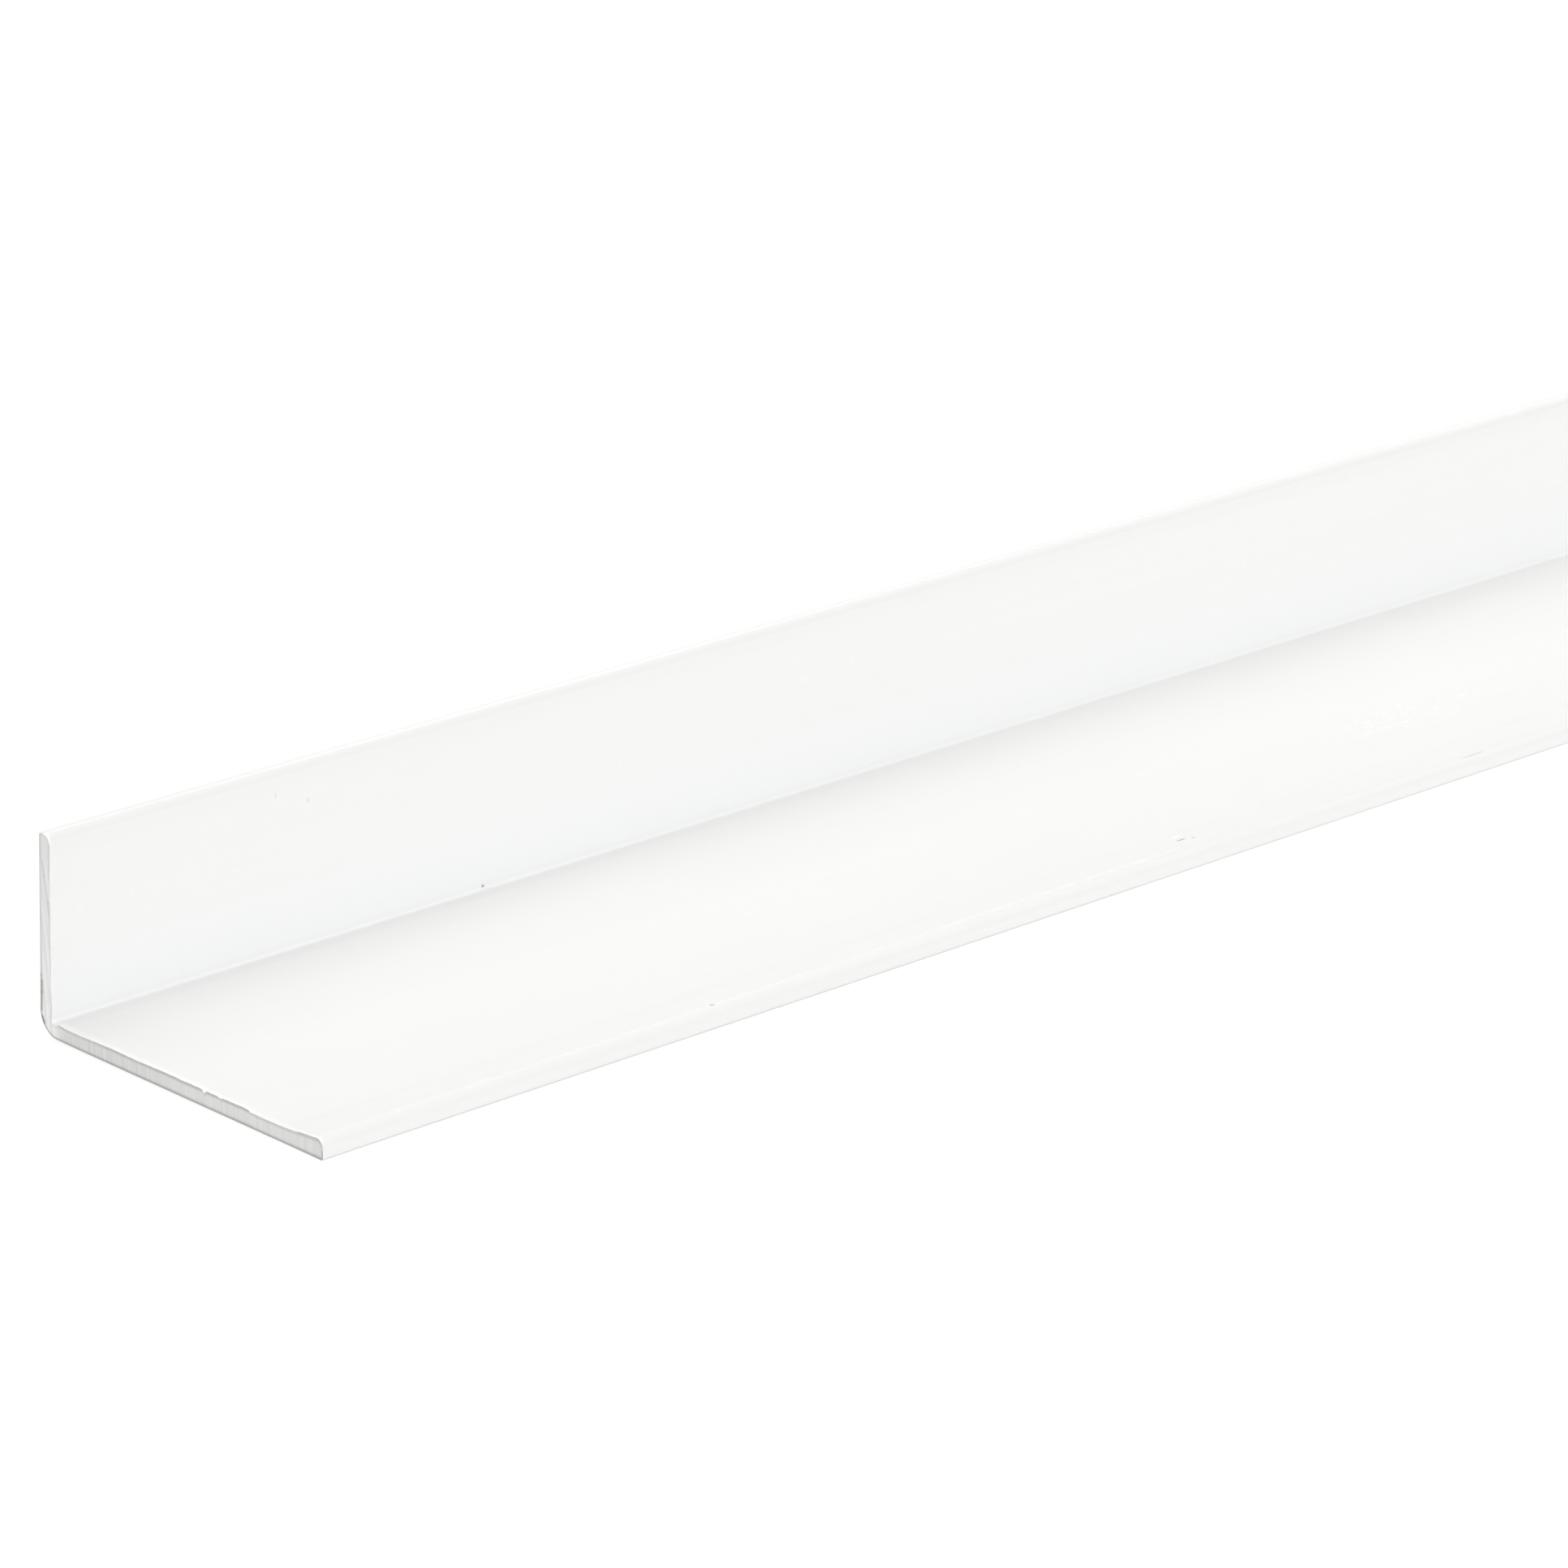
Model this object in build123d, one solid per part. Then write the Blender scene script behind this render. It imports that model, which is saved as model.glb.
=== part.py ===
from build123d import *
import os
from math import sqrt

# Unequal angle profile: one strip of coated sheet, bent once along its length and sawn off square at both ends.
# It lies on its wide leg. X runs along the stock, the narrow leg stands at the +Y side, and the underside is Z = 0.
# All sizes are in millimetres, over the coat.

# Stock length, from one sawn end to the other.
LENGTH = 1000.0

# The two legs, each measured over the outside of the bend.
FLOOR_LEG = 40.0
UPRIGHT_LEG = 20.0

# The bare sheet, and the baked coat on each of its faces.
SHEET_GAUGE = 1.5
COAT_THICKNESS = 0.07

# The bend: its inside radius, and the share of the wall that is left where the sheet is stretched over the heel.
ROOT_RADIUS = 0.35
BEND_WALL_SHARE = 0.86

# The slit edges: rolled over on the inside of the angle, and only broken on the outside.
EDGE_ROLLOVER_RADIUS = 1.0
EDGE_BREAK_RADIUS = 0.25

# The free edge of the floor leg swells on top, where the slitting burr is buried in a fat edge of coat:
# how far it would rise at a sharp corner, how wide the rise is, and how softly it starts.
FLOOR_EDGE_SWELL = 0.4
FLOOR_EDGE_SWELL_WIDTH = 4.5
SWELL_FOOT_RADIUS = 8.0

# Faces of the section, with the origin midway across the floor leg.
wall = SHEET_GAUGE + 2 * COAT_THICKNESS
back_face = FLOOR_LEG / 2
free_edge = -FLOOR_LEG / 2
upright_inner_face = back_face - wall

# A wall measured across the bend lies on its diagonal, so the stretched share sets how round the heel is.
diagonal = sqrt(2)
heel_radius = ROOT_RADIUS + wall * (diagonal - BEND_WALL_SHARE) / (diagonal - 1)

# The rolled-over edge leaves at least a flat as high as the edge break.
rollover_radius = min(EDGE_ROLLOVER_RADIUS, wall - 2 * EDGE_BREAK_RADIUS)

# Corners of the section in order round it, as (Y, Z), each with its rounding.
heel = ((back_face, 0), heel_radius)
upright_back_edge = ((back_face, UPRIGHT_LEG), EDGE_BREAK_RADIUS)
upright_inner_edge = ((upright_inner_face, UPRIGHT_LEG), rollover_radius)
root = ((upright_inner_face, wall), ROOT_RADIUS)
swell_foot = ((free_edge + FLOOR_EDGE_SWELL_WIDTH, wall), SWELL_FOOT_RADIUS)
floor_leg_top_edge = ((free_edge, wall + FLOOR_EDGE_SWELL), rollover_radius)
floor_leg_bottom_edge = ((free_edge, 0), EDGE_BREAK_RADIUS)
corners = [
    heel,
    upright_back_edge,
    upright_inner_edge,
    root,
    swell_foot,
    floor_leg_top_edge,
    floor_leg_bottom_edge,
]

with BuildPart() as angle_profile:
    with BuildSketch(Plane.YZ):
        with BuildLine():
            FilletPolyline(
                *[point for point, radius in corners],
                radius=[radius for point, radius in corners],
                close=True,
            )
        make_face()
    extrude(amount=LENGTH / 2, both=True)

angle_profile.part.label = "angle_profile"

os.makedirs("parts", exist_ok=True)
export_step(angle_profile.part, "parts/angle_profile.step")
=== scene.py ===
from math import atan, cos, degrees, pi, radians, sin, sqrt, tan

import bmesh
import bpy
import numpy as np
from mathutils import Matrix, Vector


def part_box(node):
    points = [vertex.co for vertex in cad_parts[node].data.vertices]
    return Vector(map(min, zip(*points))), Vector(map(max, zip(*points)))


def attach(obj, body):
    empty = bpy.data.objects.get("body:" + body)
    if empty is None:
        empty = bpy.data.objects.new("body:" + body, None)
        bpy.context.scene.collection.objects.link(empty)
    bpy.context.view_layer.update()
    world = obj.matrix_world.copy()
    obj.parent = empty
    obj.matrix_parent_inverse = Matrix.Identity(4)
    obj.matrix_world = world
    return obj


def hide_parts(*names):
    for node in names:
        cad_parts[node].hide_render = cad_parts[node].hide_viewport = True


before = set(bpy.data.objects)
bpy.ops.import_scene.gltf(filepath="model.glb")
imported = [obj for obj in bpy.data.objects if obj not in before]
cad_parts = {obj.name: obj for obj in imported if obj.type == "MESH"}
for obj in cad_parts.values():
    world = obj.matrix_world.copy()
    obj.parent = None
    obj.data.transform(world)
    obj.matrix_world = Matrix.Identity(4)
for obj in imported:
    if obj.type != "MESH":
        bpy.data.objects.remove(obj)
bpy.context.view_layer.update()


# The angle is one strip of sheet metal, slit to width and bent once along its length under a baked white
# coat. Its slit edges are rolled over on the inside. The section is walked round from the floor leg's free
# edge: the underside, the heel, the back, the top, the inside, the root and out along the floor leg.
MM = 0.001
low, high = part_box("angle_profile")
free_edge = low.y
back_face = high.y
upright_top = high.z
half_length = high.x
wall = 1.64 * MM
root_radius = 0.35 * MM
bend_wall_share = 0.86
heel_radius = root_radius + wall * (sqrt(2) - bend_wall_share) / (sqrt(2) - 1)
rollover_radius = 1.0 * MM
edge_break = 0.25 * MM
inner_face = back_face - wall
root_end = inner_face - root_radius
heel_flat = back_face - heel_radius
top_break = (back_face - edge_break, upright_top - edge_break)
top_rollover = (inner_face + rollover_radius, upright_top - rollover_radius)

# The coat gathers in a fat edge along the floor leg's free edge, which rises softly from the flat.
swell_height = 0.4 * MM
swell_width = 4.5 * MM
swell_foot_radius = 8.0 * MM
swell_slope = atan(swell_height / swell_width)
swell_corner = free_edge + swell_width
swell_start = swell_corner + swell_foot_radius * tan(swell_slope / 2)
swell_foot_width = swell_foot_radius * sin(swell_slope)
free_rollover_y = free_edge + rollover_radius
ramp_over_rollover = (swell_corner - free_rollover_y) * tan(swell_slope)
free_rollover_z = wall + ramp_over_rollover - rollover_radius / cos(swell_slope)
crest_y = free_rollover_y + rollover_radius * sin(swell_slope)


def floor_top(y):
    """Height of the floor leg's upper face: flat from the bend, then a soft foot and a ramp."""
    past_start = np.clip(swell_start - y, 0, swell_foot_radius)
    foot = swell_foot_radius - np.sqrt(swell_foot_radius**2 - past_start**2)
    ramp = (swell_corner - y) * tan(swell_slope)
    return wall + np.where(past_start < swell_foot_width, foot, ramp)


def eased(share):
    """Spaces points closely at both ends of a run, so that a rounding beside it doesn't shade the flat."""
    closeness = 0.85
    return share - closeness * np.sin(2 * pi * share) / (2 * pi)


def straight(start, end):
    return lambda share: np.outer(1 - eased(share), start) + np.outer(eased(share), end)


def arc(centre, radius, start, end):
    def path(share):
        angle = np.radians(start + (end - start) * share)
        return np.stack((centre[0] + radius * np.cos(angle), centre[1] + radius * np.sin(angle)), 1)
    return path


def floor_top_run(share):
    y = root_end + (crest_y - root_end) * eased(share)
    return np.stack((y, floor_top(y)), 1)


# Each run of the section, with its steps along the stock and how finely a step is split beside a sawn end.
# The three outer runs and the three inner runs have the same steps in mirrored order, so they pair up
# across the wall.
FLAT = (36, 12)
BEND = (10, 2)
UPRIGHT = (18, 6)
BREAK = (2, 2)
ROLLOVER = (8, 2)
FRONT = (3, 2)
free_rollover = (free_rollover_y, free_rollover_z)
runs = {
    "underside": (straight((free_edge + edge_break, 0), (heel_flat, 0)), *FLAT),
    "heel": (arc((heel_flat, heel_radius), heel_radius, -90, 0), *BEND),
    "back": (straight((back_face, heel_radius), (back_face, top_break[1])), *UPRIGHT),
    "top break": (arc(top_break, edge_break, 0, 90), *BREAK),
    "top": (straight((top_break[0], upright_top), (top_rollover[0], upright_top)), *BREAK),
    "top rollover": (arc(top_rollover, rollover_radius, 90, 180), *ROLLOVER),
    "inside": (straight((inner_face, top_rollover[1]), (inner_face, wall + root_radius)), *UPRIGHT),
    "root": (arc((root_end, wall + root_radius), root_radius, 0, -90), *BEND),
    "floor top": (floor_top_run, *FLAT),
    "free rollover": (arc(free_rollover, rollover_radius, 90 - degrees(swell_slope), 180), *ROLLOVER),
    "front": (straight((free_edge, free_rollover_z), (free_edge, edge_break)), *FRONT),
    "bottom break": (arc((free_edge + edge_break, edge_break), edge_break, 180, 270), *BREAK),
}
ring_points, ring_run, on_coarse = [], [], []
run_start = {}
for run_name, (path, steps, splits) in runs.items():
    run_start[run_name] = len(ring_run)
    count = steps * splits
    ring_points.extend(path(np.arange(count) / count))
    ring_run.extend([run_name] * count)
    on_coarse.extend(np.arange(count) % splits == 0)
ring = np.array(ring_points)
ring_run = np.array(ring_run)
ring_size = len(ring)
tangent = np.roll(ring, -1, 0) - np.roll(ring, 1, 0)
outward = np.stack((tangent[:, 1], -tangent[:, 0]), 1) / np.hypot(*tangent.T)[:, None]
coarse = np.flatnonzero(on_coarse)

# Small knocks in the coat, in millimetres: where each lies, its half length along the stock, half width
# and depth, how dark it is, and how bright a painted highlight is on a lip of coat pushed up behind it.
knocks = {
    "pit over the root": ((-446.8, 18.35, 1.98), 0.18, 0.15, 0.10, 0.85, 0.0),
    "chip on the fat edge": ((-451.4, -18.75, 1.95), 0.25, 0.23, 0.05, 0.45, 0.9),
    "long nick behind the fat edge": ((-385.3, -16.5, 1.75), 0.65, 0.17, 0.07, 0.65, 0.9),
    "short nick beside it": ((-384.0, -17.0, 1.79), 0.30, 0.12, 0.04, 0.45, 0.0),
    "scrape on the fat edge": ((-344.6, -19.25, 1.91), 2.00, 0.10, 0.03, 0.25, 0.0),
    "upper tick on the upright": ((-473.0, 18.36, 17.5), 0.12, 0.35, 0.01, 0.12, 0.0),
    "lower tick on the upright": ((-469.0, 18.36, 16.1), 0.14, 0.30, 0.01, 0.14, 0.0),
}

# Stations along the stock: a few close behind each cut, then even ones, with more across each knock.
# They are rounded to a hundredth of a millimetre, and those that then coincide become one.
cut_steps = np.array([0.0, 0.05, 0.12, 0.22, 0.36, 0.6, 1.0, 1.7, 2.8]) * MM
first_even_station = 4.2 * MM
EVEN_STATIONS = 240
STATION_DECIMALS = 5
knock_reaches = (-2.0, -1.2, -0.6, 0.0, 0.6, 1.2, 2.0)
body_start = half_length - first_even_station
even_stations = np.linspace(-body_start, body_start, EVEN_STATIONS)
knock_stations = [
    (centre[0] + reach * half_span) * MM
    for centre, half_span, *rest in knocks.values()
    for reach in knock_reaches
]
body_stations = np.unique(np.round(np.concatenate((even_stations, knock_stations)), STATION_DECIMALS))

# The saw drags a burr up along the inside of a cut, tears chips out of it and breaks the outside edge.
# Each list gives, in millimetres, how far the cut edge stands out from the sheet: along the floor leg by Y,
# up the inside of the upright by Z, and round the outside from the start to the end of each run.
# The far cut is a clean one.
near_floor_burr = [
    (-20.0, -0.02), (-19.87, 0.05), (-19.5, 0.10), (-18.9, 0.03), (-17.0, 0.04), (-16.3, -0.01),
    (-14.5, -0.03), (-13.2, -0.08), (-10.0, -0.05), (-9.75, 0.13), (-6.15, 0.08), (-5.9, 0.0),
    (-5.65, 0.0), (-5.45, 0.08), (-3.85, 0.09), (-3.65, -0.19), (-3.45, -0.19), (-3.25, 0.10),
    (2.0, 0.11), (6.0, 0.04), (10.2, 0.07), (14.3, -0.05), (16.3, -0.02), (17.2, 0.06), (17.5, 0.02),
    (17.7, -0.12), (18.0, -0.12),
]
near_upright_burr = [
    (1.64, -0.12), (1.8, -0.05), (2.0, 0.05), (2.9, 0.18), (3.8, 0.10), (5.0, 0.0), (7.5, 0.04),
    (10.5, -0.01), (14.0, 0.0), (18.0, 0.06),
]
far_floor_burr = [(-20.0, -0.02), (-19.8, 0.04), (-8.0, 0.06), (6.0, 0.03), (17.4, 0.05), (18.0, -0.05)]
far_upright_burr = [(1.64, -0.05), (2.4, 0.05), (18.0, 0.02)]
outer_edge_shifts = {
    "underside": (0.0, -0.18),
    "heel": (-0.18, -0.04),
    "back": (-0.02, -0.18),
    "top break": (-0.18, -0.12),
    "top": (-0.12, -0.06),
    "top rollover": (-0.06, 0.02),
}
burr_reach = 0.40 * MM
ragged_pitch = 0.45 * MM
ragged_height = 0.022 * MM


def along_runs(spans):
    """Spreads a start and an end value evenly over each named run of the section, with 0 elsewhere."""
    spread = np.zeros(ring_size)
    for run_name, (start, end) in spans.items():
        on_run = ring_run == run_name
        spread[on_run] = np.linspace(start, end, on_run.sum())
    return spread


def cut_edge_lift(floor_burr, upright_burr, seed):
    """How far each point of the section stands out at a sawn end."""
    on_floor = np.isin(ring_run, ("floor top", "free rollover"))
    on_upright = np.isin(ring_run, ("inside", "root"))
    floor_lift = np.interp(ring[:, 0], *np.array(floor_burr).T * MM)
    upright_lift = np.interp(ring[:, 1], *np.array(upright_burr).T * MM)
    walked = np.concatenate(([0], np.cumsum(np.hypot(*np.diff(ring, axis=0).T))))
    knots = np.arange(0, walked[-1] + ragged_pitch, ragged_pitch)
    ragged = np.random.default_rng(seed).uniform(-ragged_height, ragged_height, len(knots))
    outer_lift = along_runs(outer_edge_shifts) * MM
    lift = np.where(on_floor, floor_lift, np.where(on_upright, upright_lift, outer_lift))
    return lift + np.where(on_floor | on_upright, np.interp(walked, knots, ragged), 0)


def dented_ring(along):
    """The plain ring at one place along the stock, with the knocks that reach it pushed in."""
    points = ring[coarse]
    inward = np.zeros(len(coarse))
    for (x, y, z), half_span, half_width, depth, *tones in knocks.values():
        off_centre = np.hypot(points[:, 0] - y * MM, points[:, 1] - z * MM) / (half_width * MM)
        beside = (along - x * MM) / (half_span * MM)
        inward += depth * MM * np.exp(-off_centre**2 - beside**2)
    return points - outward[coarse] * inward[:, None]


# The skin: fine rings behind the near cut, plain ones along the stock, fine ones again before the far cut.
# Each point also says how near a cut edge with torn white coat and a painted highlight it is, and how dark
# the painted shade on the rim of a cut face is there, outside and inside.
COAT_SLOT = 0
CUT_SLOT = 1
vertices, faces, face_slots = [], [], []
torn_coat_and_highlight, outer_rim, inner_rim = [], [], []
order = np.arange(ring_size)
is_outer = (order < run_start["top rollover"]) | (order > run_start["front"])
# How strong the torn coat and its painted highlight are along each run.
torn_and_highlight_runs = {
    "top rollover": (0.8, 0.25),
    "inside": (0.25, 0.28),
    "root": (0.3, 1.0),
    "floor top": (1.5, 0.7),
    "free rollover": (0.7, 0.0),
}
torn_and_highlight_share = along_runs(torn_and_highlight_runs)


def add_points(along, points, torn_and_highlight=0.0, outside=0.0, inside=0.0):
    """Adds a ring or a row of points, and returns their numbers."""
    first = sum(map(len, vertices))
    vertices.append(np.column_stack((np.broadcast_to(along, len(points)), points)))
    for kept, values in ((torn_coat_and_highlight, torn_and_highlight), (outer_rim, outside), (inner_rim, inside)):
        kept.append(np.broadcast_to(values, len(points)))
    return np.arange(first, first + len(points))


def join_rings(left, right):
    for corners in zip(left, np.roll(left, -1), np.roll(right, -1), right):
        faces.append(corners)
        face_slots.append(COAT_SLOT)


def join_fine_to_plain(fine, plain, fine_is_left):
    """Joins a fine ring to a plain one: a step of the plain ring takes all the fine points beside it."""
    for step, first in enumerate(coarse):
        next_step = (step + 1) % len(coarse)
        last = coarse[next_step] or ring_size
        outline = [fine[index % ring_size] for index in range(first, last + 1)]
        outline += [plain[next_step], plain[step]]
        faces.append(outline if fine_is_left else outline[::-1])
        face_slots.append(COAT_SLOT)


# The painted shade on the rim of a cut face is darkest near the edge outside, and a little further in
# inside, where it is lighter if the burr has chipped away. Each row says what share of the way to the
# middle of the wall it lies in, and how dark it is outside and inside.
edge_darkness = (0.85, 0.5)
no_darkness = (0.0, 0.0)
rim_rows = {0.06: (1.0, 0.7), 0.18: (0.85, 1.0), 0.32: (0.25, 0.5), 0.50: no_darkness}
chipped_rim_share = 0.6
full_burr = 0.08 * MM


def rim_shades(darkness, lift):
    burr_share = chipped_rim_share + (1 - chipped_rim_share) * np.clip(lift / full_burr, 0, 1)
    return {"outside": darkness[0] * is_outer, "inside": darkness[1] * burr_share * ~is_outer}


def add_cut_end(end_sign, lift):
    """The fine rings behind a cut, from the cut edge inwards."""
    rings = []
    for step in cut_steps:
        fade = np.exp(-step / burr_reach)
        points = ring + outward * (lift * fade)[:, None]
        shades = rim_shades(no_darkness if step else edge_darkness, lift)
        rings.append(add_points(end_sign * (half_length - step), points, torn_and_highlight=torn_and_highlight_share * fade, **shades))
    return rings


near_lift = cut_edge_lift(near_floor_burr, near_upright_burr, seed=11)
far_lift = cut_edge_lift(far_floor_burr, far_upright_burr, seed=29)
near_rings = add_cut_end(-1, near_lift)
far_rings = add_cut_end(1, far_lift)
body_rings = [add_points(along, dented_ring(along)) for along in body_stations]
for left, right in zip(near_rings, near_rings[1:]):
    join_rings(left, right)
join_fine_to_plain(near_rings[-1], body_rings[0], fine_is_left=True)
for left, right in zip(body_rings, body_rings[1:]):
    join_rings(left, right)
join_fine_to_plain(far_rings[-1], body_rings[-1], fine_is_left=False)
for right, left in zip(far_rings, far_rings[1:]):
    join_rings(left, right)

# The cut faces: rows from the cut edge in to the middle of the wall, where the outer and inner points
# pair up. A wide saw blade leaves them scored in long arcs about its centre.
blade_centre = np.array((150.0, -10.0)) * MM
SCORES = 400
score_pitch = 0.5 * MM
score_depth = 0.015 * MM
top_corner = run_start["top break"]
crest_start = run_start["free rollover"]
outer_row = np.arange(top_corner + 1)
across_wall = np.where(order < run_start["inside"], top_corner, crest_start - order)
pair = np.clip(np.where(order <= top_corner, order, across_wall), 0, top_corner)


def add_cut_face(edge_ring, end_sign, lift, seed):
    scores = np.random.default_rng(seed).uniform(0, score_depth, SCORES)

    def scored(points):
        from_blade = np.hypot(*(points - blade_centre).T)
        return end_sign * (half_length - np.interp(from_blade, np.arange(SCORES) * score_pitch, scores))

    edge = ring + outward * lift[:, None]
    middle = (edge[outer_row] + edge[crest_start - outer_row]) / 2
    rows = [edge_ring]
    for share, darkness in rim_rows.items():
        points = edge + share * (middle[pair] - edge)
        rows.append(add_points(scored(points), points, **rim_shades(darkness, lift)))
    rows.append(add_points(scored(middle), middle)[pair])
    for outside, inside in zip(rows, rows[1:]):
        for corners in zip(outside, np.roll(outside, -1), np.roll(inside, -1), inside):
            corners = list(dict.fromkeys(corners))
            faces.append(corners if end_sign > 0 else corners[::-1])
            face_slots.append(CUT_SLOT)


add_cut_face(near_rings[0], -1, near_lift, seed=5)
add_cut_face(far_rings[0], 1, far_lift, seed=17)

angle_mesh = bpy.data.meshes.new("coated_angle")
angle_mesh.from_pydata(np.concatenate(vertices).tolist(), [], [tuple(map(int, face)) for face in faces])
angle_mesh.polygons.foreach_set("material_index", face_slots)
angle_mesh.polygons.foreach_set("use_smooth", [True] * len(faces))
point_values = {"torn_coat_and_highlight": torn_coat_and_highlight, "outer_rim": outer_rim, "inner_rim": inner_rim}
for attribute_name, values in point_values.items():
    attribute = angle_mesh.attributes.new(attribute_name, "FLOAT", "POINT")
    attribute.data.foreach_set("value", np.concatenate(values).astype(np.float32))
cut_edges = bmesh.new()
cut_edges.from_mesh(angle_mesh)
for edge in cut_edges.edges:
    if len({face.material_index for face in edge.link_faces}) > 1:
        edge.smooth = False
cut_edges.to_mesh(angle_mesh)
cut_edges.free()
angle = bpy.data.objects.new("coated_angle", angle_mesh)
bpy.context.scene.collection.objects.link(angle)


def add_node(tree, kind, inputs=None, **settings):
    """Adds a shader node. An input, by name or number, takes a plain value or another node's output."""
    made = tree.nodes.new(kind)
    for name, value in settings.items():
        setattr(made, name, value)
    for name, value in (inputs or {}).items():
        if isinstance(value, bpy.types.NodeSocket):
            tree.links.new(value, made.inputs[name])
        else:
            made.inputs[name].default_value = value
    return made


def reckon(tree, operation, *values):
    return add_node(tree, "ShaderNodeMath", dict(enumerate(values)), operation=operation).outputs[0]


def reckon_vector(tree, operation, *values):
    made = add_node(tree, "ShaderNodeVectorMath", dict(enumerate(values)), operation=operation)
    return made.outputs["Value" if operation in ("LENGTH", "DOT_PRODUCT") else "Vector"]


def step_between(tree, value, start, end):
    """Rises smoothly from 0 at start to 1 at end."""
    inputs = {"Value": value, "From Min": start, "From Max": end}
    return add_node(tree, "ShaderNodeMapRange", inputs, interpolation_type="SMOOTHSTEP").outputs[0]


def product(tree, *factors):
    whole = factors[0]
    for factor in factors[1:]:
        whole = reckon(tree, "MULTIPLY", whole, factor)
    return whole


def weighted_sum(tree, *terms):
    whole = 0.0
    for value, weight in terms:
        whole = reckon(tree, "MULTIPLY_ADD", value, weight, whole)
    return whole


def band(tree, value, start, full, fading, end):
    """Rises smoothly from start to full, and falls back from fading to end."""
    return product(tree, step_between(tree, value, start, full), step_between(tree, value, end, fading))


def between(tree, value, at_none, at_full):
    """Runs evenly from one share where the value is 0 to another where it is 1."""
    return reckon(tree, "MULTIPLY_ADD", value, at_full - at_none, at_none)


def blend_colours(tree, share, first, second):
    inputs = {0: share, 6: first, 7: second}
    return add_node(tree, "ShaderNodeMix", inputs, data_type="RGBA").outputs[2]


def places_from(base, reaches):
    """Places at these reaches, in millimetres, from a base in metres."""
    return [base + reach * MM for reach in reaches]


# Grain that the coat and the bare metal share: noise with its own scale along each axis. Scales here and
# below are in features a metre.
grain_roughness = 0.55
grain_sockets = {"Place": "NodeSocketVector", "Per Metre": "NodeSocketVector", "Detail": "NodeSocketFloat"}
stretched_grain = bpy.data.node_groups.new("stretched_grain", "ShaderNodeTree")
for socket_name, socket_type in grain_sockets.items():
    stretched_grain.interface.new_socket(socket_name, in_out="INPUT", socket_type=socket_type)
stretched_grain.interface.new_socket("Grain", in_out="OUTPUT", socket_type="NodeSocketFloat")
given = add_node(stretched_grain, "NodeGroupInput").outputs
scaled_place = reckon_vector(stretched_grain, "MULTIPLY", given["Place"], given["Per Metre"])
noise_inputs = {
    "Vector": scaled_place,
    "Scale": 1.0,
    "Detail": given["Detail"],
    "Roughness": grain_roughness,
}
noise = add_node(stretched_grain, "ShaderNodeTexNoise", noise_inputs).outputs[0]
add_node(stretched_grain, "NodeGroupOutput", {"Grain": noise})


def grain(tree, place, per_metre, detail=2.0):
    inputs = {"Place": place, "Per Metre": per_metre, "Detail": detail}
    return add_node(tree, "ShaderNodeGroup", inputs, node_tree=stretched_grain).outputs["Grain"]


# The coat is a baked satin white, a little uneven in tone. It is drawn out in faint lines along the stock
# and has a fine peel.
coat_white = (0.903, 0.904, 0.891, 1)
coat_thin_white = (0.893, 0.894, 0.881, 1)
cloud_scale = (14, 45, 45)
cloud_share = 0.7
drawn_line_scale = (5, 1500, 1500)
peel_scale = (1000, 1000, 1000)
waver_scale = (380, 0, 0)
tone_range = (0.35, 0.65)
coat = bpy.data.materials.new("satin_white_coat")
coat.use_nodes = True
tree = coat.node_tree
shader = tree.nodes["Principled BSDF"]
place = add_node(tree, "ShaderNodeTexCoord").outputs["Object"]
along, across, upward = add_node(tree, "ShaderNodeSeparateXYZ", {0: place}).outputs
clouds = grain(tree, place, cloud_scale)
drawn_lines = grain(tree, place, drawn_line_scale)
peel = grain(tree, place, peel_scale)
waver = grain(tree, place, waver_scale)
tone = weighted_sum(tree, (clouds, cloud_share), (drawn_lines, 1 - cloud_share))
colour = blend_colours(tree, step_between(tree, tone, *tone_range), coat_thin_white, coat_white)

# Dust baked into the coat shows as sparse, small, faintly bright nibs.
nib_white = (0.918, 0.919, 0.908, 1)
nib_scale = (1300, 1300, 1300)
nib_range = (0.78, 0.84)
nibs = step_between(tree, grain(tree, place, nib_scale, detail=0.0), *nib_range)
colour = blend_colours(tree, nibs, colour, nib_white)

# The coat changes along the stock: from the near end it evens out between these two places.
evening_start = -430.0 * MM
evening_end = -370.0 * MM
away = step_between(tree, along, evening_start, evening_end)
from_near_end = reckon(tree, "ADD", along, half_length)

# Towards the free edge of the floor leg the coat is fat and whiter at first, behind a faint wavering line
# of painted shade at the foot of its rise.
fat_coat_white = (0.905, 0.906, 0.894, 1)
free_half_reaches = (0.0, -1.0)
rise_reaches = (0.01, 0.10)
foot_shade_white = (0.876, 0.877, 0.865, 1)
foot_shade_share = 0.6
foot_shade_reaches = (-0.25, 0.3, 0.7, 1.4)
foot_waver = 0.8 * MM
foot_shade_patch_scale = (130, 600, 600)
foot_shade_patch_range = (0.35, 0.65)
on_free_half = step_between(tree, across, *places_from(0.0, free_half_reaches))
risen = step_between(tree, upward, *places_from(wall, rise_reaches))
on_rise = product(tree, on_free_half, risen, between(tree, away, 1.0, 0.0))
colour = blend_colours(tree, on_rise, colour, fat_coat_white)
# The line at the foot of the rise is painted shade.
foot_across = reckon(tree, "SUBTRACT", across, foot_waver / 2)
foot_across = reckon(tree, "MULTIPLY_ADD", waver, foot_waver, foot_across)
foot_shade = band(tree, foot_across, *places_from(swell_corner, foot_shade_reaches))
foot_shade_patches = step_between(tree, grain(tree, place, foot_shade_patch_scale), *foot_shade_patch_range)
foot_shade = product(tree, foot_shade, foot_shade_patches, foot_shade_share)
colour = blend_colours(tree, foot_shade, colour, foot_shade_white)
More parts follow.
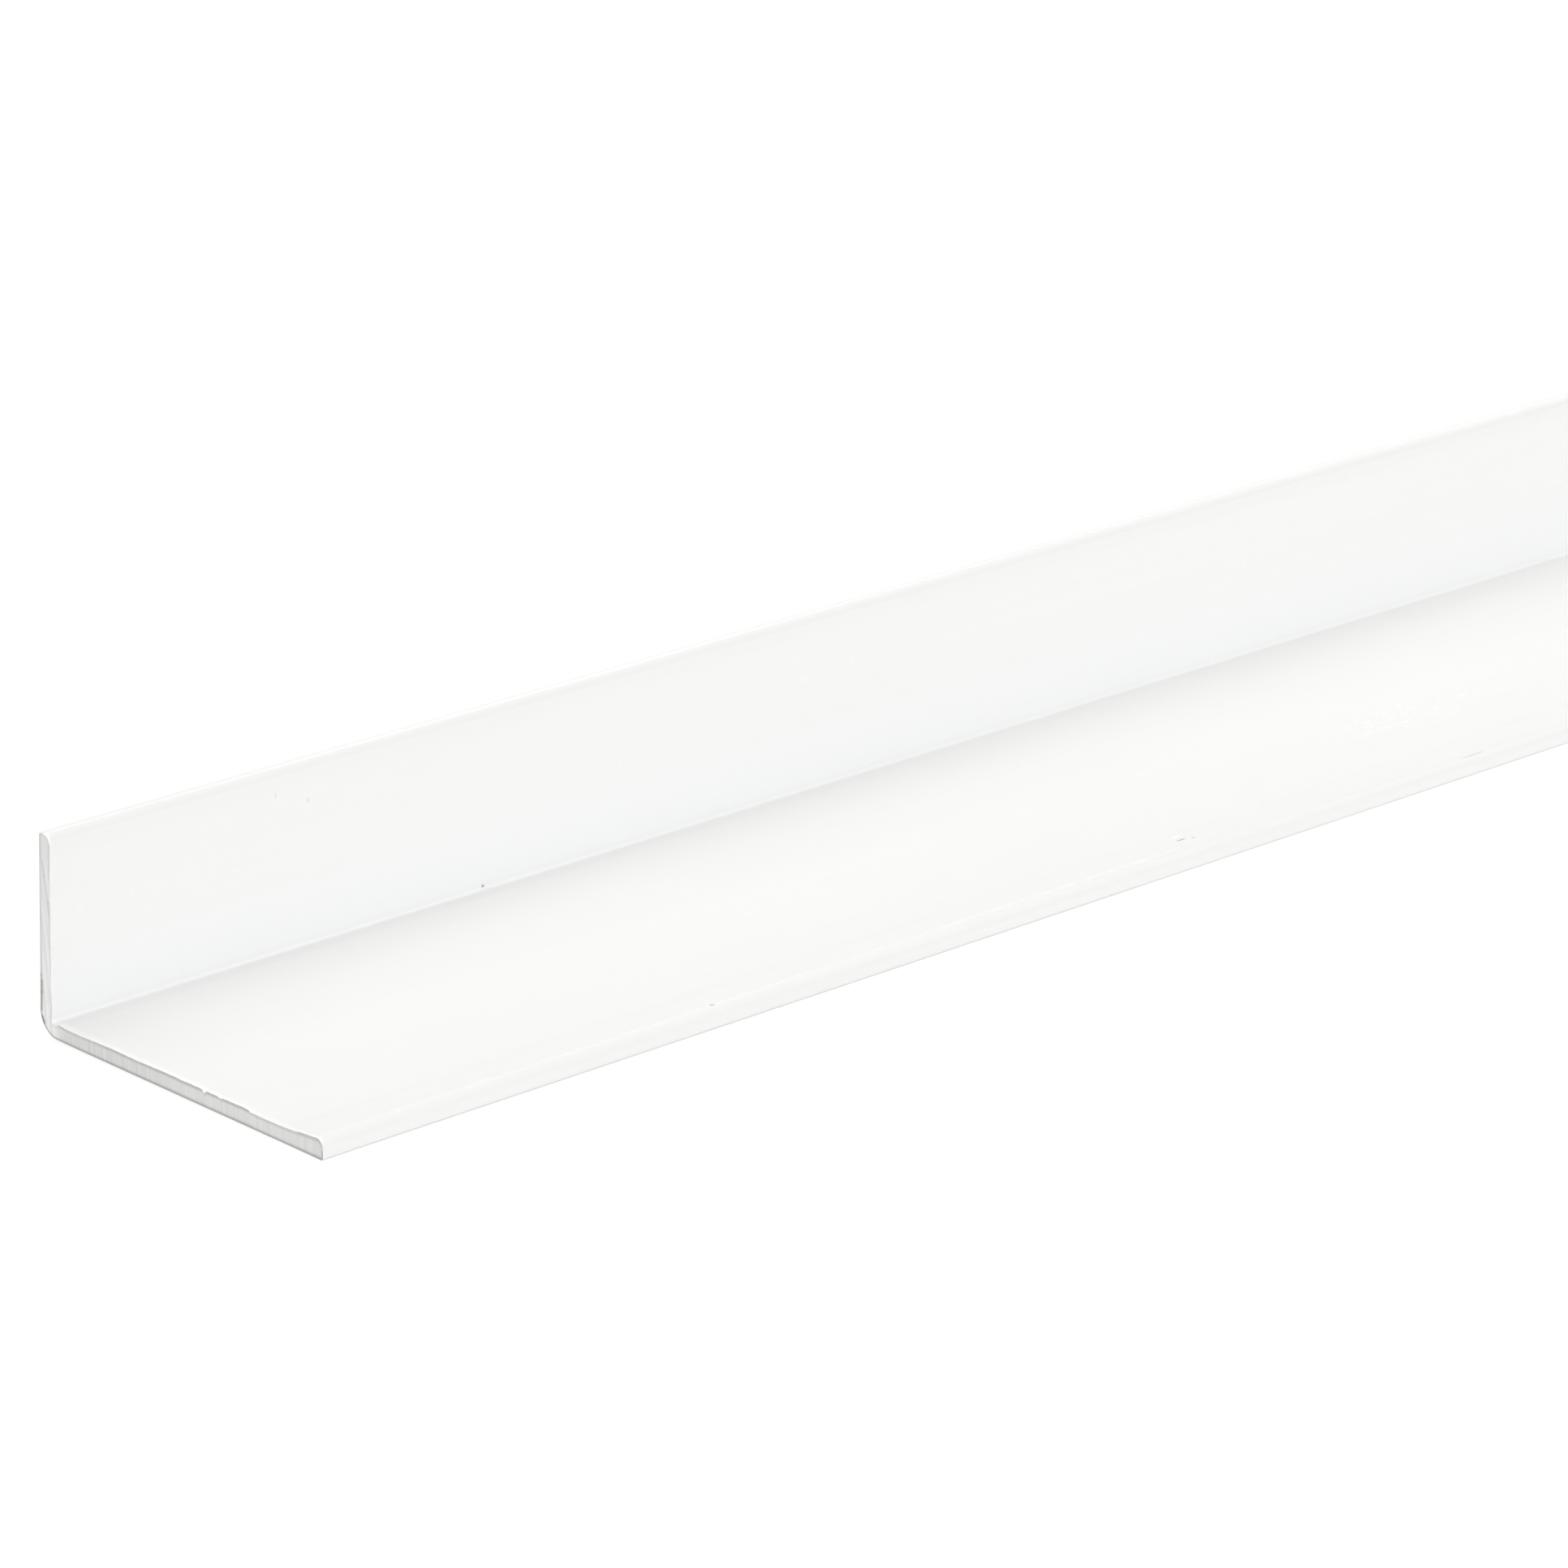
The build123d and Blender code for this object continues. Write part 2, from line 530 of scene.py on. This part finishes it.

# Over the rolled edges a band of painted shade darkens the coat. Each has the centre of its rolling, the
# height it goes by, where the painted shade starts, is full, fades and ends as shares of the radius, and
# its colour. On top of the upright's edge stands a painted highlight, a white line fainter beside the near
# cut and narrower further along.
top_roll_shade_white = (0.840, 0.841, 0.831, 1)
free_roll_shade_white = (0.852, 0.852, 0.834, 1)
highlight_white = (0.945, 0.943, 0.937, 1)
narrowing = 0.035 * MM
roll_front = 0.1 * MM
narrowed = reckon(tree, "MULTIPLY_ADD", away, -narrowing, upward)
rolled_edges = {
    "upright": (top_rollover, narrowed, (-0.05, 0.30, 0.90, 0.98), top_roll_shade_white),
    "floor leg": (free_rollover, upward, (-0.25, 0.65, 0.93, 1.00), free_roll_shade_white),
}
for (centre_y, centre_z), height, shade_shares, roll_shade_white in rolled_edges.values():
    heights = [centre_z + share * rollover_radius for share in shade_shares]
    in_front = step_between(tree, across, centre_y + roll_front, centre_y - roll_front)
    colour = blend_colours(tree, product(tree, band(tree, height, *heights), in_front), colour, roll_shade_white)
# The white line along the upright's top is a painted highlight.
highlight_near_share = 0.35
highlight_full = -450.0 * MM
top_highlight_reaches = (-0.11, -0.03)
highlight_start = step_between(tree, along, -half_length, highlight_full)
top_highlight = step_between(tree, narrowed, *places_from(upright_top, top_highlight_reaches))
top_highlight = product(tree, top_highlight, between(tree, highlight_start, highlight_near_share, 1.0))
colour = blend_colours(tree, top_highlight, colour, highlight_white)

# Further along, painted shade darkens the crest of the floor leg's edge.
crest_shade_white = (0.840, 0.841, 0.829, 1)
crest_shade_near_share = 0.2
crest_shade_reaches = (-0.90, -0.60, -0.45, 0.20)
crest_shade_wall_shares = (0.5, 0.8)
crest_shade = band(tree, across, *places_from(crest_y, crest_shade_reaches))
crest_shade = product(tree, crest_shade, step_between(tree, upward, *[share * wall for share in crest_shade_wall_shares]))
crest_shade = product(tree, crest_shade, between(tree, away, crest_shade_near_share, 1.0))
colour = blend_colours(tree, crest_shade, colour, crest_shade_white)

# Painted shade darkens the sharp bottom edge, most of all towards the near end.
bottom_edge_shade_white = (0.660, 0.656, 0.650, 1)
bottom_shade_away_share = 0.5
bottom_shade_heights = (0.18, 0.08)
free_edge_reaches = (0.4, 0.2)
bottom_edge_shade = step_between(tree, upward, *places_from(0.0, bottom_shade_heights))
at_free_edge = step_between(tree, across, *places_from(free_edge, free_edge_reaches))
bottom_edge_shade = product(tree, bottom_edge_shade, at_free_edge, between(tree, away, 1.0, bottom_shade_away_share))
colour = blend_colours(tree, bottom_edge_shade, colour, bottom_edge_shade_white)

# Below the rolled edge painted shade darkens the upright a little, fading downwards. Low on the inside a
# painted cool shade tints it.
below_rim_shade_white = (0.881, 0.882, 0.869, 1)
below_rim_shade_reaches = (-3.0, -1.0, -0.9, -0.5)
cool_shade_white = (0.893, 0.903, 0.898, 1)
cool_foot_rises = (0.0, 0.06)
cool_top_heights = (6.0, 10.0)
cool_root_reaches = (0.0, 0.05)
cool_back_reaches = (0.3, 0.8)
below_rim_shade = band(tree, upward, *places_from(upright_top, below_rim_shade_reaches))
colour = blend_colours(tree, below_rim_shade, colour, below_rim_shade_white)
low_heights = places_from(wall, cool_foot_rises) + places_from(0.0, cool_top_heights)
inside_places = places_from(root_end, cool_root_reaches) + places_from(inner_face, cool_back_reaches)
low_inside_shade = product(tree, band(tree, upward, *low_heights), band(tree, across, *inside_places))
colour = blend_colours(tree, low_inside_shade, colour, cool_shade_white)

# In the root a faint painted highlight runs between two lines of painted shade. The highlight and the lower
# line of shade come and go along the stock, strongest at both ends and midway.
root_highlight_stretch = 500.0 * MM
root_highlight_wave_range = (-0.2, 1.0)
root_highlight_share = 0.60
root_highlight_rises = (0.01, 0.05, 0.14, 0.22)
corner_reaches = (-0.10, 0.05)
upper_crease_shade_white = (0.872, 0.879, 0.872, 1)
upper_crease_shade_share = 0.8
upper_crease_shade_rises = (0.14, 0.24, 0.46, 0.80)
lower_crease_shade_white = (0.846, 0.853, 0.848, 1)
lower_crease_shade_least = 0.2
lower_crease_shade_most = 0.75
lower_crease_shade_reaches = (-2.00, -0.50, -0.28, -0.10)
flat_rises = (0.10, 0.05)
root_highlight_wave = reckon(tree, "COSINE", product(tree, from_near_end, 2 * pi / root_highlight_stretch))
root_highlight_strength = step_between(tree, root_highlight_wave, *root_highlight_wave_range)
in_corner = step_between(tree, across, *places_from(root_end, corner_reaches))
on_flat = step_between(tree, upward, *places_from(wall, flat_rises))
root_highlight = band(tree, upward, *places_from(wall, root_highlight_rises))
root_highlight = product(tree, root_highlight, in_corner, root_highlight_strength, root_highlight_strength, root_highlight_share)
colour = blend_colours(tree, root_highlight, colour, highlight_white)
upper_crease_shade = band(tree, upward, *places_from(wall, upper_crease_shade_rises))
upper_crease_shade = product(tree, upper_crease_shade, in_corner, upper_crease_shade_share)
colour = blend_colours(tree, upper_crease_shade, colour, upper_crease_shade_white)
lower_crease_shade = band(tree, across, *places_from(root_end, lower_crease_shade_reaches))
lower_crease_shade_share = between(tree, root_highlight_strength, lower_crease_shade_least, lower_crease_shade_most)
lower_crease_shade = product(tree, lower_crease_shade, on_flat, lower_crease_shade_share)
colour = blend_colours(tree, lower_crease_shade, colour, lower_crease_shade_white)

# The bead along the crest of the fat edge is a crumbling, wavering row of white specks in clumps: whiter
# coat and a painted highlight. It grows stronger and moves back from the edge along the stock, and comes
# and goes in stretches.
bead_and_highlight_white = (0.972, 0.972, 0.964, 1)
bead_half_width = 0.40 * MM
bead_core = 0.05 * MM
bead_waver = 0.55 * MM
bead_rise = 0.12 * MM
bead_near_share = 0.8
bead_drift = 0.35 * MM
bead_drift_start = -455.0 * MM
bead_drift_end = -405.0 * MM
bead_stretch = 113.0 * MM
bead_stretch_range = (-0.05, 0.15)
crumb_scale = (1300, 1700, 1700)
crumb_range = (0.43, 0.59)
crumb_least = 0.20
clump_scale = (260, 260, 260)
clump_range = (0.36, 0.62)
clump_least = 0.55
drifted = step_between(tree, along, bead_drift_start, bead_drift_end)
bead_y = reckon(tree, "MULTIPLY_ADD", waver, bead_waver, crest_y + bead_rise - bead_waver / 2)
bead_y = reckon(tree, "MULTIPLY_ADD", drifted, bead_drift, bead_y)
off_bead = reckon(tree, "ABSOLUTE", reckon(tree, "SUBTRACT", across, bead_y))
beside_bead = step_between(tree, off_bead, bead_half_width, bead_core)
crumbs = step_between(tree, grain(tree, place, crumb_scale), *crumb_range)
clumps = step_between(tree, grain(tree, place, clump_scale, detail=1.0), *clump_range)
stretches = reckon(tree, "SINE", product(tree, from_near_end, pi / bead_stretch))
bead_comes = step_between(tree, stretches, *bead_stretch_range)
on_crest = step_between(tree, upward, wall, wall + swell_height / 2)
bead_and_highlight = product(tree, beside_bead, between(tree, crumbs, crumb_least, 1.0))
bead_and_highlight = product(tree, bead_and_highlight, between(tree, clumps, clump_least, 1.0))
bead_and_highlight = product(tree, bead_and_highlight, between(tree, drifted, bead_near_share, 1.0), bead_comes, on_crest)
colour = blend_colours(tree, bead_and_highlight, colour, bead_and_highlight_white)

# A rubbed patch on the floor leg is flecked with brighter white.
patch_centre = Vector((-339.2, -6.3, 1.64)) * MM
patch_half_size = Vector((14.5, 3.6, 3.6)) * MM
patch_fade = (1.15, 0.5)
rubbed_white = (0.940, 0.938, 0.930, 1)
fleck_scale = (1500, 1700, 1700)
fleck_range = (0.54, 0.66)
from_patch = reckon_vector(tree, "SUBTRACT", place, patch_centre)
from_patch = reckon_vector(tree, "MULTIPLY", from_patch, tuple(1 / size for size in patch_half_size))
in_patch = step_between(tree, reckon_vector(tree, "LENGTH", from_patch), *patch_fade)
flecks = step_between(tree, grain(tree, place, fleck_scale, detail=1.0), *fleck_range)
colour = blend_colours(tree, product(tree, in_patch, flecks), colour, rubbed_white)

# Beside a cut the coat shows its bright broken edge, with a painted highlight, and each knock shows the
# grey of the sheet.
torn_and_highlight_white = (0.965, 0.965, 0.960, 1)
torn_and_highlight_range = (0.12, 0.40)
knock_grey = (0.16, 0.155, 0.145, 1)
lip_highlight_offset = Vector((0.25, 0.95, 0)) * MM
lip_highlight_half_width = 0.30
spot_fade = (1.3, 0.5)
torn_and_highlight = add_node(tree, "ShaderNodeAttribute", attribute_name="torn_coat_and_highlight").outputs["Fac"]
colour = blend_colours(tree, step_between(tree, torn_and_highlight, *torn_and_highlight_range), colour, torn_and_highlight_white)


def in_spot(centre, half_span, half_width):
    """1 in a small oval on the coat, fading to 0 round it."""
    spread = tuple(1 / (size * MM) for size in (half_span, half_width, half_width))
    from_centre = reckon_vector(tree, "SUBTRACT", place, centre)
    distance = reckon_vector(tree, "LENGTH", reckon_vector(tree, "MULTIPLY", from_centre, spread))
    return step_between(tree, distance, *spot_fade)


for centre, half_span, half_width, _, darkness, highlight_brightness in knocks.values():
    centre = Vector(centre) * MM
    # The lip behind each knock carries a painted highlight.
    lip_highlight = product(tree, in_spot(centre + lip_highlight_offset, half_span, lip_highlight_half_width), highlight_brightness)
    colour = blend_colours(tree, lip_highlight, colour, torn_and_highlight_white)
    knock = product(tree, in_spot(centre, half_span, half_width), darkness)
    colour = blend_colours(tree, knock, colour, knock_grey)

# The coat's satin and its relief: the peel, the drawn lines and the proud bead.
coat_least_rough = 0.36
coat_most_rough = 0.50
peel_relief = 0.6
line_relief = 0.25
bead_relief = 4.0
coat_relief_strength = 0.5
coat_relief_height = 0.006 * MM
satin = between(tree, tone, coat_least_rough, coat_most_rough)
relief = weighted_sum(tree, (drawn_lines, line_relief), (peel, peel_relief), (bead_and_highlight, bead_relief))
relief_inputs = {"Height": relief, "Strength": coat_relief_strength, "Distance": coat_relief_height}
surface = add_node(tree, "ShaderNodeBump", relief_inputs).outputs[0]
tree.links.new(colour, shader.inputs["Base Color"])
tree.links.new(satin, shader.inputs["Roughness"])
tree.links.new(surface, shader.inputs["Normal"])
angle_mesh.materials.append(coat)

# The bare metal of a cut: light grey and scored in arcs about the middle of the blade.
metal_light = (0.86, 0.86, 0.85, 1)
metal_dark = (0.71, 0.71, 0.70, 1)
fine_score_scale = 2600.0
fine_score_detail = 3.0
fine_score_share = 0.5
broad_score_scale = 900.0
broad_score_detail = 1.0
broad_score_share = 0.3
smear_scale = (0, 1500, 500)
smear_share = 0.2
score_range = (0.36, 0.64)
on_cut_plane = (0, 1, 1)
cut_metal = bpy.data.materials.new("sawn_bare_metal")
cut_metal.use_nodes = True
tree = cut_metal.node_tree
shader = tree.nodes["Principled BSDF"]
place = add_node(tree, "ShaderNodeTexCoord").outputs["Object"]
along, across, upward = add_node(tree, "ShaderNodeSeparateXYZ", {0: place}).outputs
from_blade = reckon_vector(tree, "SUBTRACT", place, (0, *blade_centre))
blade_radius = reckon_vector(tree, "LENGTH", reckon_vector(tree, "MULTIPLY", from_blade, on_cut_plane))


def blade_scores(scale, detail):
    inputs = {"W": blade_radius, "Scale": scale, "Detail": detail}
    return add_node(tree, "ShaderNodeTexNoise", inputs, noise_dimensions="1D").outputs[0]


fine_scores = blade_scores(fine_score_scale, fine_score_detail)
broad_scores = blade_scores(broad_score_scale, broad_score_detail)
smear = grain(tree, place, smear_scale)
scores = weighted_sum(
    tree, (broad_scores, broad_score_share), (fine_scores, fine_score_share), (smear, smear_share),
)
colour = blend_colours(tree, step_between(tree, scores, *score_range), metal_dark, metal_light)

# The cut is painted darker on the floor leg, as shade, with dark drags towards the heel, and grows darker
# up
# the upright in two stages: where each starts and is full, in millimetres, and its share.
darker_metal = (0.66, 0.66, 0.645, 1)
floor_leg_places = (18.2, 16.5)
floor_leg_shade_share = 0.6
drag_dark = (0.32, 0.32, 0.31, 1)
drag_places = (-4.0, 9.0, 16.0, 17.5)
drag_range = (0.42, 0.62)
drag_share = 0.22
darker_stages = {"half way up": (5.5, 11.0, 0.30), "towards the top": (15.5, 18.5, 0.40)}
on_floor_leg = step_between(tree, across, *places_from(0.0, floor_leg_places))
colour = blend_colours(tree, product(tree, on_floor_leg, floor_leg_shade_share), colour, darker_metal)
drags = product(tree, band(tree, across, *places_from(0.0, drag_places)), drag_share)
drags = product(tree, drags, step_between(tree, fine_scores, *drag_range))
colour = blend_colours(tree, drags, colour, drag_dark)
for start, full, share in darker_stages.values():
    high_up = step_between(tree, upward, start * MM, full * MM)
    colour = blend_colours(tree, product(tree, high_up, share), colour, darker_metal)

# Gouges of the saw across the near cut, in millimetres: where each starts and ends as (Y, Z), its half
# width, and how dark it is.
gouges = {
    "top drag": ((19.46, 17.1), (19.20, 15.8), 0.16, 0.17),
    "side drag": ((18.52, 17.0), (18.52, 15.6), 0.12, 0.14),
    "long drag": ((19.20, 15.8), (18.70, 13.4), 0.18, 0.11),
    "foot of the long drag": ((18.68, 13.4), (18.46, 12.0), 0.14, 0.18),
    "low smear": ((18.60, 9.8), (18.48, 8.8), 0.12, 0.12),
    "long line beside the back": ((19.66, 15.5), (19.72, 6.8), 0.10, 0.06),
    "tick across the back": ((19.70, 5.95), (20.00, 5.85), 0.08, 0.40),
    "heavy line low on the back": ((19.70, 5.4), (19.72, 4.3), 0.19, 0.50),
    "foot of the heavy line": ((19.74, 4.3), (19.78, 2.6), 0.17, 0.46),
    "nick on the heel": ((19.70, 1.85), (19.48, 1.35), 0.19, 0.95),
}
gouge_dark = (0.30, 0.30, 0.29, 1)
gouge_fade = (1.4, 0.4)
at_near_end = reckon(tree, "LESS_THAN", along, 0.0)
for start, end, half_width, darkness in gouges.values():
    start_place = Vector((0, *start)) * MM
    run = Vector((0, *end)) * MM - start_place
    from_start = reckon_vector(tree, "SUBTRACT", place, start_place)
    from_start = reckon_vector(tree, "MULTIPLY", from_start, on_cut_plane)
    walked_share = reckon_vector(tree, "DOT_PRODUCT", from_start, run / run.length_squared)
    walked_share = add_node(tree, "ShaderNodeClamp", {"Value": walked_share}).outputs[0]
    nearest = add_node(tree, "ShaderNodeVectorMath", {0: run, "Scale": walked_share}, operation="SCALE")
    off_gouge = reckon_vector(tree, "SUBTRACT", from_start, nearest.outputs[0])
    off_gouge = reckon_vector(tree, "LENGTH", off_gouge)
    gouge = step_between(tree, off_gouge, *[half_width * share * MM for share in gouge_fade])
    colour = blend_colours(tree, product(tree, gouge, darkness, at_near_end), colour, gouge_dark)

# The blade left a broken edge outside, darkened with painted shade, heaviest low on the back and along the
# underside, and inside a line of painted shade under the burr, heaviest on the floor leg.
rim_shade_dark = (0.25, 0.245, 0.225, 1)
rim_shade_least = 0.24
rim_shade_most = 0.65
low_back_heights = (7.0, 5.6)
burr_shade_dark = (0.45, 0.45, 0.435, 1)
burr_least = 0.25
burr_most = 0.90
outer_edge = add_node(tree, "ShaderNodeAttribute", attribute_name="outer_rim").outputs["Fac"]
inner_edge = add_node(tree, "ShaderNodeAttribute", attribute_name="inner_rim").outputs["Fac"]
low_down = step_between(tree, upward, *places_from(0.0, low_back_heights))
outer_shade = product(tree, outer_edge, between(tree, low_down, rim_shade_least, rim_shade_most))
colour = blend_colours(tree, outer_shade, colour, rim_shade_dark)
inner_shade = product(tree, inner_edge, between(tree, on_floor_leg, burr_least, burr_most))
colour = blend_colours(tree, inner_shade, colour, burr_shade_dark)

# The scores also make the metal's polish and relief uneven.
metal_least_rough = 0.38
metal_most_rough = 0.55
score_relief_strength = 0.4
score_relief_height = 0.008 * MM
polish = between(tree, scores, metal_least_rough, metal_most_rough)
relief_inputs = {"Height": scores, "Strength": score_relief_strength, "Distance": score_relief_height}
surface = add_node(tree, "ShaderNodeBump", relief_inputs).outputs[0]
tree.links.new(colour, shader.inputs["Base Color"])
shader.inputs["Metallic"].default_value = 1.0
tree.links.new(polish, shader.inputs["Roughness"])
tree.links.new(surface, shader.inputs["Normal"])
angle_mesh.materials.append(cut_metal)

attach(angle, "root")
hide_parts("angle_profile")


# The floor is a wide white sheet that the angle lies on. To the camera and in reflections it is nearly
# white by itself, and the rest of its brightness is real light, so it keeps a soft contact shadow.
floor_half_size = 20.0
floor_gap = 0.02 * MM
floor_white = (0.86, 0.86, 0.85, 1)
floor_shadowed_share = (0.19, 0.19, 0.19, 1)
floor_own_white = 0.86
floor_signs = ((-1, -1), (1, -1), (1, 1), (-1, 1))
floor_corners = [(x * floor_half_size, y * floor_half_size, -floor_gap) for x, y in floor_signs]
floor_mesh = bpy.data.meshes.new("studio_floor")
floor_mesh.from_pydata(floor_corners, [], [range(len(floor_corners))])
floor = bpy.data.objects.new("studio_floor", floor_mesh)
bpy.context.scene.collection.objects.link(floor)


def seen_directly(tree):
    """1 for rays from the camera, reflected or through glass, and 0 for rays that only carry light."""
    rays = add_node(tree, "ShaderNodeLightPath").outputs
    either = reckon(tree, "MAXIMUM", rays["Is Camera Ray"], rays["Is Glossy Ray"])
    return reckon(tree, "MAXIMUM", either, rays["Is Transmission Ray"])


floor_material = bpy.data.materials.new("white_floor")
floor_material.use_nodes = True
tree = floor_material.node_tree
tree.nodes.remove(tree.nodes["Principled BSDF"])
lit = add_node(tree, "ShaderNodeBsdfDiffuse", {"Color": floor_white}).outputs[0]
shadowed = add_node(tree, "ShaderNodeBsdfDiffuse", {"Color": floor_shadowed_share}).outputs[0]
own_white = add_node(tree, "ShaderNodeEmission", {"Strength": floor_own_white}).outputs[0]
seen = add_node(tree, "ShaderNodeAddShader", {0: shadowed, 1: own_white}).outputs[0]
mixed = add_node(tree, "ShaderNodeMixShader", {0: seen_directly(tree), 1: lit, 2: seen}).outputs[0]
tree.links.new(mixed, tree.nodes["Material Output"].inputs["Surface"])
floor_mesh.materials.append(floor_material)


# The light is a white tent: an even glow from all round, two wide softboxes overhead and behind the upright
# leg, one low in front and one beyond the far end. Each softbox has its place and width in metres, its
# power and its tint.
tent_glow = 0.559
tent_tint = (0.99, 0.99, 0.995, 1)
backdrop_white = (1, 1, 1, 1)
warm_white = (1.0, 0.985, 0.965)
cool_lamp_white = (0.985, 0.992, 1.0)
plain_white = (1.0, 1.0, 1.0)
softboxes = {
    "overhead_softbox": ((-0.3, 0.0, 2.0), 1.6, 6.4, warm_white),
    "rear_softbox": ((-0.2, 0.9, 1.8), 1.6, 8.4, warm_white),
    "front_softbox": ((-0.3, -2.1, 0.7), 1.4, 17.0, cool_lamp_white),
    "far_softbox": ((5.6, 0.6, 3.0), 4.2, 86.4, plain_white),
}
light_aim = Vector((-0.4, 0.0, 0.0))
for name, (location, width, power, tint) in softboxes.items():
    lamp = bpy.data.lights.new(name, "AREA")
    lamp.shape = "SQUARE"
    lamp.size = width
    lamp.energy = power
    lamp.color = tint
    softbox = bpy.data.objects.new(name, lamp)
    softbox.location = location
    softbox.rotation_euler = (light_aim - Vector(location)).to_track_quat("-Z", "Y").to_euler()
    softbox.visible_camera = False
    bpy.context.scene.collection.objects.link(softbox)

world = bpy.data.worlds.new("white_tent")
world.use_nodes = True
bpy.context.scene.world = world
tree = world.node_tree
tree.nodes.remove(tree.nodes["Background"])
glow = add_node(tree, "ShaderNodeBackground", {"Color": tent_tint, "Strength": tent_glow}).outputs[0]
backdrop = add_node(tree, "ShaderNodeBackground", {"Color": backdrop_white, "Strength": 1.0}).outputs[0]
mixed = add_node(tree, "ShaderNodeMixShader", {0: seen_directly(tree), 1: glow, 2: backdrop}).outputs[0]
tree.links.new(mixed, tree.nodes["World Output"].inputs["Surface"])
bpy.context.scene.view_settings.view_transform = "Standard"


# The camera stands off the near end on the floor leg's side and looks down across the stock, with a long
# lens and a slight lean. Its turn is measured from the +Y axis towards +X.
camera_place = Vector((-896.03, -482.84, 256.55)) * MM
camera_turn = radians(44.332)
camera_dip = radians(19.897)
camera_lean = radians(1.278)
camera_lens = 170.49
camera_data = bpy.data.cameras.new("camera")
camera_data.lens = camera_lens
camera = bpy.data.objects.new("camera", camera_data)
turned = Matrix.Rotation(-camera_turn, 4, "Z") @ Matrix.Rotation(pi / 2 - camera_dip, 4, "X")
camera.matrix_world = Matrix.Translation(camera_place) @ turned @ Matrix.Rotation(camera_lean, 4, "Z")
bpy.context.scene.collection.objects.link(camera)
bpy.context.scene.camera = camera
